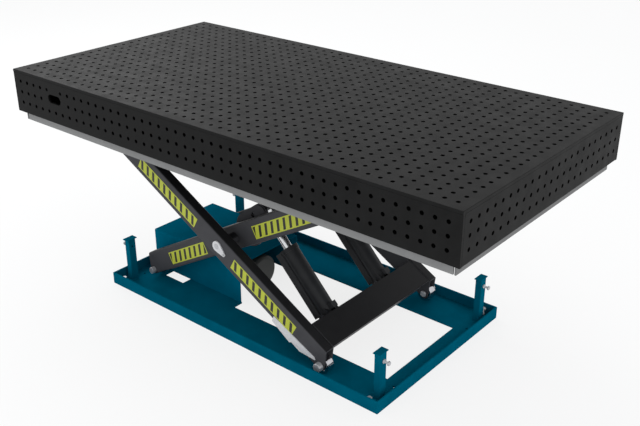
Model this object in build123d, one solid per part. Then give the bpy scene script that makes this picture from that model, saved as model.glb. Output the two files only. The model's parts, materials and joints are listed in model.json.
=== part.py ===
from build123d import *
import math
import os

# Height adjustable welding table: a perforated table box on a hydraulic scissor lift.
# Lengths are in millimetres and angles in degrees.
# The origin is on the floor in the middle of the base frame, +Z is up and +X runs along
# the table, away from the power pack. The model stands with the lift fully raised.
# Every piece is one solid, and pieces that repeat share one file as separate solids.

# Table box
table_length = 2400
table_width = 1200
table_depth = 200
table_plate = 12
hole_diameter = 16
hole_pitch = 50
# Least distance from a hole's middle to the grip slot; holes nearer to it are left out.
hole_to_slot = 20
grip_slot_length = 92
grip_slot_height = 40
grip_slot_from_end = 300
grip_slot_from_top = 88
rib_plate = 10
cross_rib_count = 4
rib_pitch_x = 450
rib_pitch_y = 350

# Platform under the table box
platform_inset = 25
platform_plate = 8
rim_height = 43
rim_plate = 6
rim_corner_slit = 5
platform_above_pin = 59
bracket_plate = 10
bracket_width = 106
bracket_rounding = 28

# Base frame
base_length = 1612
base_width = 920
base_wall_height = 57
base_sheet = 8
base_wall = 6
long_flange = 205
left_flange = 141
right_flange = 100
anchor_hole = 12
# The anchor holes, each as its X and its distance in from the base's long edge.
anchor_right = (757, 179)
anchor_left = (-751, 149)
foot_screw_x = 750
foot_screw_inset = 23
foot_screw_diameter = 10
foot_screw_top = 30
nut_across = 17
nut_height = 8

# Corner posts
post_x = 755
post_inset = 82
post_depth = 30
post_width = 38
post_wall = 3
post_top = 230
cap_depth = 34
cap_width = 58
cap_plate = 4
post_screw_diameter = 10
post_screw_z = 190
post_screw_reach = 30

# Power pack
tray_left = -531
tray_solid_right = -400
cover_left = -775
cover_right = -182
# Free room beside the cover up to the inner legs' ears, at the front and at the rear.
cover_front_room = 23
cover_rear_room = 28
cover_height = 200
cover_sheet = 3
tray_lap = 6
pack_y = -47
motor_z = 105
motor_radius = 72
motor_fin = 5
motor_fin_count = 16
motor_right = -176
cowl_radius = 83
cowl_length = 58
cowl_sheet = 2
cowl_rounding = 15
pump_left = -475
pump_right = -395
pump_width = 110
valve_radius = 14
valve_height = 32
tank_left = -740
tank_width = 200
tank_height = 140
tank_rounding = 25
tank_foot_height = 26
tank_foot_length = 50
filler_radius = 22
filler_height = 14
filler_edge = 2

# Scissor legs
leg_reach = 684
raised_angle = 32.15
lowered_angle = 9.0
base_pin_x = -687
pin_offset = 32
leg_height = 110
leg_width = 50
leg_wall = 6
leg_corner = 8
leg_inner_corner = 3
# Distance from the base's long edge to the middle of an outer leg, and from there to an inner one.
outer_leg_inset = 79
leg_spacing = 106
end_cut_angle = 23
end_pin_radius = 16
centre_pin_radius = 16
sleeve_wall = 4
centre_boss_wall = 10
lug_plate = 20
lug_width = 46
lug_gap = 2
pin_end = 6
pin_outside = 20

# Rollers and their tracks
roller_radius = 40
roller_edge = 2
axle_radius = 15
axle_head_radius = 20
axle_head = 25
axle_edge = 2
axle_inside = 6
roller_slot_gap = 4
track_width = 60
track_web = 8
track_margin = 60

# Retaining plates and guards on the outer legs
retainer_head = 25
retainer_tail = 9
retainer_tail_s = 48
retainer_tail_n = -6
retainer_plate = 5
retainer_screw_radius = 6
retainer_screw_head = 3
guard_plate = 3
# The guard's corners, each along the leg from the roller's axle and square to the leg.
guard_outline = [
    (-289, -34), (-286, -62), (-168, -73), (-160, -63), (-107, -64), (-31, -28), (-40, -20)]

# Cross-member between the outer legs, placed along them from the rollers' axles
cross_plate_back = 146
cross_plate_front = 15
cross_plate_thick = 8
cross_tube_back = 108
cross_tube_front = 28
cross_tube_low = -25
cross_tube_wall = 6

# Cross tube and arms between the inner legs
torque_tube_s = 24.5
torque_tube_n = 6.8
torque_tube_radius = 45
torque_tube_wall = 8
arm_plate = 10
arm_hub_radius = 80
arm_end_radius = 42
arm_window = 20
arm_window_s = 84
arm_window_n = 61

# Hydraulic cylinders
cylinder_to_leg = 83
foot_to_axle = 159.75
foot_n = -5.5
rod_pin_s = 135.5
rod_pin_n = 61
cylinder_pin_radius = 15
eye_radius = 30
foot_lug_gap = 1
foot_lug_plate = 24
foot_lug_radius = 28
foot_fork_radius = 38
foot_fork_half = 33
foot_fork_gap = 6
barrel_radius = 40
barrel_end = 336
barrel_wall = 6
barrel_cap = 26
gland_length = 20
gland_radius = 43
rod_radius = 20
rod_eye_width = 42
piston_length = 24
piston_spare = 8
port_block_start = 12
port_block_length = 27
port_block_half = 15
port_block_reach = 62
guard_channel_width = 28
guard_channel_depth = 26
guard_channel_wall = 2.5
guard_channel_start = 14
guard_channel_end = 312
guard_channel_angle = 45
keeper_radius = 36
keeper_plate = 5
# Room in the arms' holes, because the rod pin is the pivot where the linkage is open.
open_pivot_room = 9.6

# Clearances
running_gap = 0.3
pin_fit = 0.05
arm_side_gap = 0.5
# How far a cut runs past a face, or a piece into the one that it is fused with.
cut_over = 1


# Sizes worked out from those above

half_height = leg_height / 2
outer_leg_y = base_width / 2 - outer_leg_inset
inner_leg_y = outer_leg_y - leg_spacing
cylinder_y = inner_leg_y - cylinder_to_leg
lugs_inside = inner_leg_y - leg_width / 2 - lug_gap - lug_plate
cover_front = cover_front_room - lugs_inside
cover_rear = lugs_inside - cover_rear_room
post_y = base_width / 2 - post_inset
foot_screw_y = base_width / 2 - foot_screw_inset
base_pin_z = base_sheet + roller_radius + running_gap
pin_s = math.sqrt(leg_reach ** 2 - pin_offset ** 2)
leg_slope = raised_angle - math.degrees(math.asin(pin_offset / leg_reach))
centre_x = base_pin_x + leg_reach * math.cos(math.radians(raised_angle))
centre_z = base_pin_z + leg_reach * math.sin(math.radians(raised_angle))
top_pin_z = 2 * centre_z - base_pin_z
platform_under = top_pin_z + platform_above_pin
platform_top = platform_under + platform_plate
table_top = platform_top + table_depth
table_under = table_top - table_plate
platform_half_x = table_length / 2 - platform_inset
platform_half_y = table_width / 2 - platform_inset
track_under = top_pin_z + roller_radius + running_gap
cover_top = base_sheet + cover_height
end_rounding = half_height - pin_offset
cross_plate_s = (pin_s - cross_plate_back, pin_s - cross_plate_front)
cross_tube_s = (pin_s - cross_tube_back, pin_s - cross_tube_front)
foot_s = pin_s - foot_to_axle
fork_depth = foot_lug_radius + foot_fork_gap
bore_start = fork_depth + barrel_cap
roller_half_width = leg_width / 2 - leg_wall - running_gap
INNER = 1
OUTER = -1
BOTH_SIDES = (-1, 1)


# Helpers

def block(x, y, z):
    """A rectangular solid over the ranges x, y and z, each a pair of numbers."""
    size = [span[1] - span[0] for span in (x, y, z)]
    middle = [(span[0] + span[1]) / 2 for span in (x, y, z)]
    return Pos(*middle) * Box(*size)


def side_span(side, near, far):
    """The Y range from near to far out from the middle, on the front (-1) or rear (1) side."""
    return tuple(sorted((side * near, side * far)))


def bar_y(radius, y, x=0, z=0):
    """A round bar along Y over the range y."""
    return Pos(x, sum(y) / 2, z) * Rot(90, 0, 0) * Cylinder(radius, y[1] - y[0])


def bar_x(radius, x, y=0, z=0):
    """A round bar along X over the range x."""
    return Pos(sum(x) / 2, y, z) * Rot(0, 90, 0) * Cylinder(radius, x[1] - x[0])


def prism_y(outline, y):
    """An outline drawn in X and Z, carried along Y over the range y."""
    return extrude(Plane.XZ.offset(-y[1]) * outline, amount=y[1] - y[0], dir=(0, -1, 0))


def prism_x(outline, x):
    """An outline drawn in Y and Z, carried along X over the range x."""
    return extrude(Plane.YZ.offset(x[0]) * outline, amount=x[1] - x[0], dir=(1, 0, 0))


def strap(centre_a, radius_a, centre_b, radius_b):
    """The outline of two discs joined by their outer tangents."""
    return make_hull((Pos(*centre_a) * Circle(radius_a) + Pos(*centre_b) * Circle(radius_b)).edges())


def outline_of(points):
    """A closed outline through points, always anticlockwise so that outlines join."""
    ahead = points[1:] + points[:1]
    doubled_area = sum(a[0] * b[1] - b[0] * a[1] for a, b in zip(points, ahead))
    return Polygon(*(points if doubled_area > 0 else points[::-1]), align=None)


def leg_frame(lean):
    """The frame of the inner (1) or outer (-1) legs: X along the leg, Z square to it."""
    return Pos(centre_x, 0, centre_z) * Rot(0, -lean * leg_slope, 0)


def leg_point(lean, s, n):
    """The X and Z of a point given along and square to a leg."""
    place = leg_frame(lean) * Pos(s, 0, n)
    return place.position.X, place.position.Z


def perforated(length, width, thick, columns, rows, slot=None):
    """A plate in the XY plane with the hole grid; holes that would meet the slot are left out."""
    outline = Wire.make_rect(length, width)
    holes = []
    for column in range(columns):
        for row in range(rows):
            x = (column - (columns - 1) / 2) * hole_pitch
            place = Vector(x, (row - (rows - 1) / 2) * hole_pitch)
            if slot is not None and slot.distance_to(place) < hole_to_slot:
                continue
            holes.append(Wire([Pos(place) * Edge.make_circle(hole_diameter / 2)]))
    if slot is not None:
        holes.append(slot.outer_wire())
    return Solid.extrude(Face(outline, holes), (0, 0, thick))


def group(solids):
    """Separate solids that share one file."""
    return Compound(children=[solid for shape in solids for solid in shape.solids()])


# Base frame

def long_rail(side):
    """The front or rear rail: a flange on the floor with an upright outer wall."""
    x = (-base_length / 2, base_length / 2)
    outer = base_width / 2
    flange = block(x, side_span(side, outer - long_flange, outer), (0, base_sheet))
    wall = block(x, side_span(side, outer - base_wall, outer), (0, base_wall_height))
    rail = flange + wall
    for anchor_x, inset in (anchor_right, anchor_left):
        hole = Cylinder(anchor_hole / 2, 2 * base_sheet)
        rail -= Pos(anchor_x, side * (outer - inset), base_sheet / 2) * hole
    for end in BOTH_SIDES:
        hole = Cylinder(foot_screw_diameter / 2 + pin_fit, 2 * base_sheet)
        rail -= Pos(end * foot_screw_x, side * foot_screw_y, base_sheet / 2) * hole
    return rail


def end_rail(end, flange_width):
    """A rail across the left (-1) or right (1) end, between the long rails."""
    outer = base_length / 2
    inner_y = base_width / 2 - long_flange
    wall_y = base_width / 2 - base_wall
    flange = block(side_span(end, outer - flange_width, outer), (-inner_y, inner_y), (0, base_sheet))
    wall_x = side_span(end, outer - base_wall, outer)
    wall = block(wall_x, (-wall_y, wall_y), (base_sheet, base_wall_height))
    return flange + wall


def nut_outline():
    """The hexagon of every nut."""
    return RegularPolygon(nut_across / 2, 6, major_radius=False)


def levelling_screws():
    """Four studs through the long flanges, each with its nut."""
    screws = []
    for end in BOTH_SIDES:
        for side in BOTH_SIDES:
            stud = Pos(0, 0, foot_screw_top / 2) * Cylinder(foot_screw_diameter / 2, foot_screw_top)
            nut = Pos(0, 0, base_sheet) * extrude(nut_outline(), nut_height)
            screws.append(Pos(end * foot_screw_x, side * foot_screw_y, 0) * (stud + nut))
    return group(screws)


def base_pivot_lugs():
    """Upright ears on the inner sides of the inner legs' lower ends."""
    lugs = []
    outline = Pos(base_pin_x, base_pin_z) * Circle(lug_width / 2)
    stem_middle = (base_sheet + base_pin_z) / 2
    outline += Pos(base_pin_x, stem_middle) * Rectangle(lug_width, base_pin_z - base_sheet)
    outline -= Pos(base_pin_x, base_pin_z) * Circle(end_pin_radius + pin_fit)
    for side in BOTH_SIDES:
        lugs.append(prism_y(outline, side_span(side, lugs_inside, lugs_inside + lug_plate)))
    return group(lugs)


def base_pivot_pins():
    """The two pins on which the inner legs swing, held in the ears."""
    pins = []
    for side in BOTH_SIDES:
        y = side_span(side, lugs_inside - pin_end, inner_leg_y + leg_width / 2 + pin_outside)
        pins.append(bar_y(end_pin_radius, y, base_pin_x, base_pin_z))
    return group(pins)


# Corner posts

def post_places():
    """The four corners where posts stand, as an end and a side."""
    return [(end, side) for end in BOTH_SIDES for side in BOTH_SIDES]


def corner_posts():
    """Four square tubes on the long flanges, with a screw hole through both X walls."""
    posts = []
    height = post_top - cap_plate - base_sheet
    section = Rectangle(post_depth, post_width)
    section -= Rectangle(post_depth - 2 * post_wall, post_width - 2 * post_wall)
    for end, side in post_places():
        tube = Pos(end * post_x, side * post_y, base_sheet) * extrude(section, height)
        x = side_span(end, post_x - post_depth, post_x + post_depth)
        tube -= bar_x(post_screw_diameter / 2 + pin_fit, x, side * post_y, post_screw_z)
        posts.append(tube)
    return group(posts)


def post_caps():
    """Plates that close the posts' tops."""
    middle = post_top - cap_plate / 2
    return group([Pos(end * post_x, side * post_y, middle) * Box(cap_depth, cap_width, cap_plate)
                  for end, side in post_places()])


def post_screws():
    """Screws that stand out of the posts' outer faces, each with its nut."""
    screws = []
    face = post_x + post_depth / 2
    for end, side in post_places():
        stem = bar_x(post_screw_diameter / 2, side_span(end, face - 2 * post_wall, face + post_screw_reach))
        nut = prism_x(nut_outline(), side_span(end, face, face + nut_height))
        screws.append(Pos(0, side * post_y, post_screw_z) * (stem + nut))
    return group(screws)


# Power pack

def pack_tray():
    """The floor plate between the long rails that carries the pack and its cover's edges."""
    inner_y = base_width / 2 - long_flange
    tray = block((tray_left, tray_solid_right), (-inner_y, inner_y), (0, base_sheet))
    tray += block((tray_left, cover_right), (-inner_y, cover_front + tray_lap), (0, base_sheet))
    tray += block((tray_left, cover_right), (cover_rear - tray_lap, inner_y), (0, base_sheet))
    return tray


def pack_cover():
    """A bent sheet hood, open below and at its right end."""
    outside = block((cover_left, cover_right), (cover_front, cover_rear), (base_sheet, cover_top))
    upper = outside.edges().filter_by(Axis.X).group_by(Axis.Z)[-1]
    outside = fillet(upper, 2 * cover_sheet)
    inside_y = (cover_front + cover_sheet, cover_rear - cover_sheet)
    inside_x = (cover_left + cover_sheet, cover_right + cover_sheet)
    inside = block(inside_x, inside_y, (0, cover_top - cover_sheet))
    upper = inside.edges().filter_by(Axis.X).group_by(Axis.Z)[-1]
    return outside - fillet(upper, cover_sheet)


def oil_tank():
    """The rounded tank on two feet, one on the left rail and one on the tray."""
    y = (pack_y - tank_width / 2, pack_y + tank_width / 2)
    low = base_sheet + tank_foot_height
    tank = block((tank_left, pump_left), y, (low, low + tank_height))
    tank = fillet(tank.edges().filter_by(Axis.X), tank_rounding)
    foot_y = (y[0] + tank_rounding, y[1] - tank_rounding)
    for foot_x in (tank_left, pump_left - tank_foot_length):
        tank += block((foot_x, foot_x + tank_foot_length), foot_y, (base_sheet, low))
    return tank


def filler_cap():
    """The screw cap on the tank."""
    low = base_sheet + tank_foot_height + tank_height
    cap = Cylinder(filler_radius, filler_height)
    cap = chamfer(cap.edges().group_by(Axis.Z)[-1], filler_edge)
    return Pos((tank_left + pump_left) / 2, pack_y, low + filler_height / 2) * cap


def pump_block():
    """The pump and valve block between tank and motor, with its valve cartridge on top."""
    half = pump_width / 2
    low = base_sheet + tank_foot_height
    body = block((pump_left, pump_right), (pack_y - half, pack_y + half), (low, motor_z + valve_radius))
    valve_z = motor_z + valve_radius + valve_height / 2
    return body + Pos((pump_left + pump_right) / 2, pack_y, valve_z) * Cylinder(valve_radius, valve_height)


def motor():
    """The finned motor body, which lies along X and is bolted to the pump block."""
    x = (pump_right, motor_right - cowl_length)
    body = bar_x(motor_radius, x)
    reach = (motor_radius - cut_over, cowl_radius - cowl_sheet - running_gap)
    for number in range(motor_fin_count):
        fin = block((x[0] + motor_fin, x[1]), (-motor_fin / 2, motor_fin / 2), reach)
        body += Rot(360 * number / motor_fin_count, 0, 0) * fin
    return Pos(0, pack_y, motor_z) * body


def motor_cowl():
    """The fan cowl: a pressed cup with a rounded closed end."""
    left = motor_right - cowl_length
    cup = rounded_end(bar_x(cowl_radius, (left, motor_right)), cowl_rounding)
    inside = bar_x(cowl_radius - cowl_sheet, (left - cut_over, motor_right - cowl_sheet))
    cup -= rounded_end(inside, cowl_rounding - cowl_sheet)
    return Pos(0, pack_y, motor_z) * cup


def rounded_end(bar, rounding):
    """A round bar along X with its right end's edge rounded."""
    return fillet(bar.edges().filter_by(GeomType.CIRCLE).sort_by(Axis.X)[-1], rounding)


# Scissor legs

def leg(side, lean):
    """A hollow leg with obliquely cut open ends; its pivot is at the left and its roller at the right."""
    hollow = RectangleRounded(leg_width - 2 * leg_wall, leg_height - 2 * leg_wall, leg_inner_corner)
    section = RectangleRounded(leg_width, leg_height, leg_corner) - hollow
    tube = prism_x(section, (-leg_reach - leg_height, leg_reach + leg_height))
    cut = math.radians(end_cut_angle)
    touch_s = pin_s + end_rounding * math.cos(cut)
    touch_n = pin_offset - end_rounding * math.sin(cut)
    corner_s = touch_s - (touch_n + half_height) * math.tan(cut)
    right = [(corner_s, -lean * half_height), (touch_s, lean * touch_n), (pin_s, lean * half_height)]
    left = [(-s, -n) for s, n in right]
    outline = outline_of(right + left)
    for end in BOTH_SIDES:
        outline += Pos(end * pin_s, end * lean * pin_offset) * Circle(end_rounding)
    body = tube & prism_y(outline, (-leg_width, leg_width))
    middle = inner_leg_y if lean == INNER else outer_leg_y
    within = (-leg_width / 2 + leg_wall / 2, leg_width / 2 - leg_wall / 2)
    body += bar_y(end_pin_radius + sleeve_wall, within, -pin_s, -lean * pin_offset)
    boss = within
    if lean == INNER:
        gap_face = outer_leg_y - leg_width / 2 - running_gap - middle
        boss = side_span(side, -within[1], gap_face)
    body += bar_y(centre_pin_radius + centre_boss_wall, boss)
    through = (-leg_width, leg_width + outer_leg_y - inner_leg_y)
    body -= bar_y(centre_pin_radius + pin_fit, side_span(side, *through))
    body -= bar_y(end_pin_radius + pin_fit, (-leg_width, leg_width), -pin_s, -lean * pin_offset)
    body -= bar_y(axle_radius + pin_fit, (-leg_width, leg_width), pin_s, lean * pin_offset)
    slot_s = (pin_s - roller_radius - roller_slot_gap, pin_s + leg_height)
    slot_n = side_span(lean, half_height - leg_wall - leg_inner_corner, leg_height)
    slot_y = leg_width / 2 - leg_wall
    body -= block(slot_s, (-slot_y, slot_y), slot_n)
    return leg_frame(lean) * Pos(0, side * middle, 0) * body


def roller_axles(lean):
    """The axles at the right ends of one pair of legs, with thick heads outside the legs."""
    middle = inner_leg_y if lean == INNER else outer_leg_y
    x, z = leg_point(lean, pin_s, lean * pin_offset)
    inside = middle - leg_width / 2 - axle_inside
    face = middle + leg_width / 2
    axles = []
    for side in BOTH_SIDES:
        head = bar_y(axle_head_radius, side_span(side, face, face + axle_head), x, z)
        head = chamfer(head.edges().filter_by(GeomType.CIRCLE), axle_edge)
        axles.append(head + bar_y(axle_radius, side_span(side, inside, face + axle_edge), x, z))
    return group(axles)


def roller(side, lean):
    """A wheel between the cheeks of a leg's end, with chamfered rims."""
    middle = inner_leg_y if lean == INNER else outer_leg_y
    wheel = Cylinder(roller_radius, 2 * roller_half_width)
    wheel = chamfer(wheel.edges(), roller_edge)
    wheel -= Cylinder(axle_radius + pin_fit, leg_width)
    x, z = leg_point(lean, pin_s, lean * pin_offset)
    return Pos(x, side * middle, z) * Rot(90, 0, 0) * wheel


def centre_pins():
    """The pins on which the leg pairs cross."""
    inside = inner_leg_y - leg_width / 2 + leg_wall / 2
    outside = outer_leg_y + leg_width / 2
    return group([bar_y(centre_pin_radius, side_span(side, inside, outside), centre_x, centre_z)
                  for side in BOTH_SIDES])


def retaining_plates():
    """Drop-shaped plates that cover the centre pins on the outer legs' outer faces."""
    face = outer_leg_y + leg_width / 2
    tail = (retainer_tail_s, retainer_tail_n)
    outline = strap((0, 0), retainer_head, tail, retainer_tail)
    plates = [prism_y(outline, side_span(side, face, face + retainer_plate)) for side in BOTH_SIDES]
    return leg_frame(OUTER) * group(plates)


def retaining_screws():
    """The round screw heads on the tails of the retaining plates."""
    face = outer_leg_y + leg_width / 2 + retainer_plate
    screws = []
    for side in BOTH_SIDES:
        y = side_span(side, face, face + retainer_screw_head)
        screws.append(bar_y(retainer_screw_radius, y, retainer_tail_s, retainer_tail_n))
    return leg_frame(OUTER) * group(screws)


def guard_strips():
    """Thin plates along the lower edges of the outer legs, ahead of the rollers."""
    face = outer_leg_y + leg_width / 2
    outline = outline_of([(pin_s + along, across) for along, across in guard_outline])
    return leg_frame(OUTER) * group(
        [prism_y(outline, side_span(side, face, face + guard_plate)) for side in BOTH_SIDES])


# Cross-member

def cross_plate():
    """The top plate of the cross-member, flush with the outer legs' upper faces."""
    reach = outer_leg_y - leg_width / 2
    n = (half_height - cross_plate_thick, half_height)
    return leg_frame(OUTER) * block(cross_plate_s, (-reach, reach), n)


def cross_tube():
    """The rectangular tube under the cross-member's plate."""
    reach = outer_leg_y - leg_width / 2
    n = (cross_tube_low, half_height - cross_plate_thick)
    tube = block(cross_tube_s, (-reach, reach), n)
    wall = cross_tube_wall
    inside_s = (cross_tube_s[0] + wall, cross_tube_s[1] - wall)
    tube -= block(inside_s, (-leg_reach, leg_reach), (n[0] + wall, n[1] - wall))
    return leg_frame(OUTER) * tube


def cylinder_lugs():
    """The plates on the cross tube that stand in the forks of the cylinders' lower ends."""
    high = half_height - cross_plate_thick
    outline = outline_of([
        (foot_s, foot_n + foot_lug_radius), (cross_tube_s[0], high),
        (cross_tube_s[0], cross_tube_low), (foot_s, foot_n - foot_lug_radius)])
    outline += Pos(foot_s, foot_n) * Circle(foot_lug_radius)
    outline -= Pos(foot_s, foot_n) * Circle(cylinder_pin_radius + pin_fit)
    half = foot_lug_plate / 2
    lugs = [prism_y(outline, (side * cylinder_y - half, side * cylinder_y + half)) for side in BOTH_SIDES]
    return leg_frame(OUTER) * group(lugs)


def cylinder_pins():
    """The pins through the cylinders' lower forks."""
    reach = barrel_radius + pin_end / 2
    pins = []
    for side in BOTH_SIDES:
        y = (side * cylinder_y - reach, side * cylinder_y + reach)
        pins.append(bar_y(cylinder_pin_radius, y, foot_s, foot_n))
    return leg_frame(OUTER) * group(pins)


# Cross tube and arms

def torque_tube():
    """The round tube between the inner legs."""
    reach = inner_leg_y - leg_width / 2
    tube = bar_y(torque_tube_radius, (-reach, reach), torque_tube_s, torque_tube_n)
    inside_radius = torque_tube_radius - torque_tube_wall
    tube -= bar_y(inside_radius, (-leg_reach, leg_reach), torque_tube_s, torque_tube_n)
    return leg_frame(INNER) * tube


def rod_arms():
    """Pairs of arms on the torque tube, with wide holes for the rod pins."""
    outline = strap((torque_tube_s, torque_tube_n), arm_hub_radius, (rod_pin_s, rod_pin_n), arm_end_radius)
    outline -= Pos(torque_tube_s, torque_tube_n) * Circle(torque_tube_radius + pin_fit)
    outline -= Pos(rod_pin_s, rod_pin_n) * Circle(cylinder_pin_radius + open_pivot_room)
    outline -= Pos(arm_window_s, arm_window_n) * Rot(0, 0, leg_slope) * Rectangle(arm_window, arm_window)
    near = rod_eye_width / 2 + arm_side_gap
    arms = []
    for side in BOTH_SIDES:
        for cheek in BOTH_SIDES:
            y = [side * cylinder_y + span for span in side_span(cheek, near, near + arm_plate)]
            arms.append(prism_y(outline, y))
    return leg_frame(INNER) * group(arms)


# Hydraulic cylinders

foot_x, foot_z = leg_point(OUTER, foot_s, foot_n)
rod_pin_x, rod_pin_z = leg_point(INNER, rod_pin_s, rod_pin_n)
cylinder_length = math.hypot(rod_pin_x - foot_x, rod_pin_z - foot_z)
cylinder_slope = math.degrees(math.atan2(rod_pin_z - foot_z, rod_pin_x - foot_x))


def lowered_length():
    """The distance between a cylinder's two pins with the lift at its lowest."""
    turn = math.radians(raised_angle - lowered_angle)
    foot = complex(foot_x - centre_x, foot_z - centre_z) * complex(math.cos(turn), math.sin(turn))
    end = complex(rod_pin_x - centre_x, rod_pin_z - centre_z) * complex(math.cos(turn), -math.sin(turn))
    return abs(end - foot)


stroke = cylinder_length - lowered_length()


def cylinder_frame(side):
    """The frame of a cylinder: X from its lower pin to its rod pin, -Z on its upper side."""
    return Pos(foot_x, side * cylinder_y, foot_z) * Rot(0, -cylinder_slope, 0)


def barrel(side):
    """The cylinder's tube with its foot fork, end cap and gland."""
    body = bar_x(barrel_radius, (0, barrel_end))
    body += bar_y(foot_fork_radius, (-foot_fork_half, foot_fork_half))
    body += bar_x(gland_radius, (barrel_end - gland_length, barrel_end))
    body -= bar_y(cylinder_pin_radius + pin_fit, (-2 * barrel_radius, 2 * barrel_radius))
    half_gap = foot_lug_plate / 2 + foot_lug_gap
    body -= block((-2 * barrel_radius, fork_depth), (-half_gap, half_gap), (-barrel_end, barrel_end))
    bore_end = barrel_end - gland_length
    body -= bar_x(barrel_radius - barrel_wall, (bore_start, bore_end))
    body -= bar_x(rod_radius + pin_fit, (bore_end - cut_over, barrel_end + cut_over))
    return cylinder_frame(side) * body


def port_block(side):
    """The oil port block on the upper side of the barrel's foot, seated on its round."""
    length = (port_block_start, port_block_start + port_block_length)
    body = block(length, (-port_block_half, port_block_half), (-port_block_reach, 0))
    body -= bar_x(barrel_radius, (0, barrel_end))
    return cylinder_frame(side) * body


def pipe_guard(side):
    """The open channel along the barrel's lower near side that shields its oil pipe."""
    half = guard_channel_width / 2
    inner_half = half - guard_channel_wall
    seat = math.sqrt(barrel_radius ** 2 - inner_half ** 2)
    depth = (seat, seat + guard_channel_depth)
    length = (guard_channel_start, guard_channel_end)
    channel = block(length, (-half, half), depth)
    inside_depth = (0, depth[1] - guard_channel_wall)
    channel -= block((0, 2 * guard_channel_end), (-inner_half, inner_half), inside_depth)
    return cylinder_frame(side) * Rot(guard_channel_angle, 0, 0) * channel


def rod(side):
    """The piston rod with its piston and its upper eye."""
    half = rod_eye_width / 2
    piston_start = bore_start + piston_spare + stroke
    body = bar_x(rod_radius, (piston_start, cylinder_length - eye_radius / 2))
    piston_radius = barrel_radius - barrel_wall - pin_fit
    body += bar_x(piston_radius, (piston_start, piston_start + piston_length))
    body += bar_y(eye_radius, (-half, half), cylinder_length)
    body -= bar_y(cylinder_pin_radius + pin_fit, (-rod_eye_width, rod_eye_width), cylinder_length)
    return cylinder_frame(side) * body


def rod_pin(side):
    """The pin through the rod's eye, with a keeper washer outside each arm."""
    keeper = rod_eye_width / 2 + arm_side_gap + arm_plate + running_gap
    body = bar_y(cylinder_pin_radius, (-keeper - keeper_plate, keeper + keeper_plate), cylinder_length)
    for cheek in BOTH_SIDES:
        body += bar_y(keeper_radius, side_span(cheek, keeper, keeper + keeper_plate), cylinder_length)
    return cylinder_frame(side) * body


# Platform

def platform_sheet():
    """The platform's flat top."""
    x = (-platform_half_x, platform_half_x)
    return block(x, (-platform_half_y, platform_half_y), (platform_under, platform_top))


def long_rim(side):
    """The front or rear flange of the platform, which stops short of the end flanges."""
    reach = platform_half_x - rim_plate - rim_corner_slit
    y = side_span(side, platform_half_y - rim_plate, platform_half_y)
    return block((-reach, reach), y, (platform_top - rim_height, platform_under))


def end_rim(end):
    """The left or right flange of the platform."""
    x = side_span(end, platform_half_x - rim_plate, platform_half_x)
    return block(x, (-platform_half_y, platform_half_y), (platform_top - rim_height, platform_under))


def roller_tracks():
    """Inverted channels under the platform on which the inner legs' rollers run."""
    inner_start = centre_x + leg_reach * math.cos(math.radians(raised_angle))
    outer_stop = base_pin_x + 2 * leg_reach * math.cos(math.radians(lowered_angle))
    x = (inner_start - track_margin, outer_stop + track_margin)
    tracks = []
    for side in BOTH_SIDES:
        y = (side * inner_leg_y - track_width / 2, side * inner_leg_y + track_width / 2)
        channel = block(x, y, (track_under, platform_under))
        inside_y = (y[0] + track_web, y[1] - track_web)
        inside_x = (x[0] - cut_over, x[1] + cut_over)
        channel -= block(inside_x, inside_y, (track_under + track_web, platform_under + cut_over))
        tracks.append(channel)
    return group(tracks)


def top_pivot_brackets():
    """Ears under the platform on both sides of each outer leg's upper end."""
    outline = Pos(base_pin_x, top_pin_z) * Circle(bracket_rounding)
    outline += outline_of([
        (base_pin_x - bracket_rounding, top_pin_z), (base_pin_x + bracket_rounding, top_pin_z),
        (base_pin_x + bracket_width / 2, platform_under), (base_pin_x - bracket_width / 2, platform_under)])
    outline -= Pos(base_pin_x, top_pin_z) * Circle(end_pin_radius + pin_fit)
    half = leg_width / 2
    brackets = []
    for side in BOTH_SIDES:
        for near in (outer_leg_y - half - lug_gap - bracket_plate, outer_leg_y + half + lug_gap):
            brackets.append(prism_y(outline, side_span(side, near, near + bracket_plate)))
    return group(brackets)


def top_pivot_pins():
    """The pins through the outer legs' upper ends."""
    reach = leg_width / 2 + lug_gap + bracket_plate + pin_end
    pins = []
    for side in BOTH_SIDES:
        y = side_span(side, outer_leg_y - reach, outer_leg_y + reach)
        pins.append(bar_y(end_pin_radius, y, base_pin_x, top_pin_z))
    return group(pins)


# Table box

columns = int(table_length / hole_pitch) - 1
rows = int(table_width / hole_pitch) - 1
side_rows = int(table_depth / hole_pitch) - 1


def table_top_plate():
    """The top plate with its hole grid."""
    plate = perforated(table_length, table_width, table_plate, columns, rows)
    return Pos(0, 0, table_under) * plate


def side_plate(length, columns, slot=None):
    """An upright plate in the XY plane, cut off under the top plate, its grid's middle at the origin."""
    plate = perforated(length, table_depth, table_plate, columns, side_rows, slot)
    cut_y = (table_depth / 2 - table_plate, table_depth)
    return plate - block((-table_length, table_length), cut_y, (-table_plate, 2 * table_plate))


def table_long_side(side):
    """The front or rear plate; the front one has the grip slot."""
    slot = None
    if side < 0:
        slot_x = -table_length / 2 + grip_slot_from_end
        slot_y = table_depth / 2 - grip_slot_from_top
        slot = (Pos(slot_x, slot_y) * SlotOverall(grip_slot_length, grip_slot_height)).faces()[0]
    face = -table_width / 2 + table_plate if side < 0 else table_width / 2
    plate = side_plate(table_length, columns, slot)
    return Pos(0, face, platform_top + table_depth / 2) * Rot(90, 0, 0) * plate


def table_end_side(end):
    """The left or right plate, between the long ones."""
    face = table_length / 2 - table_plate if end > 0 else -table_length / 2
    upright = Plane(origin=(face, 0, platform_top + table_depth / 2), x_dir=(0, 1, 0), z_dir=(1, 0, 0))
    return upright.location * side_plate(table_width - 2 * table_plate, rows)


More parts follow.
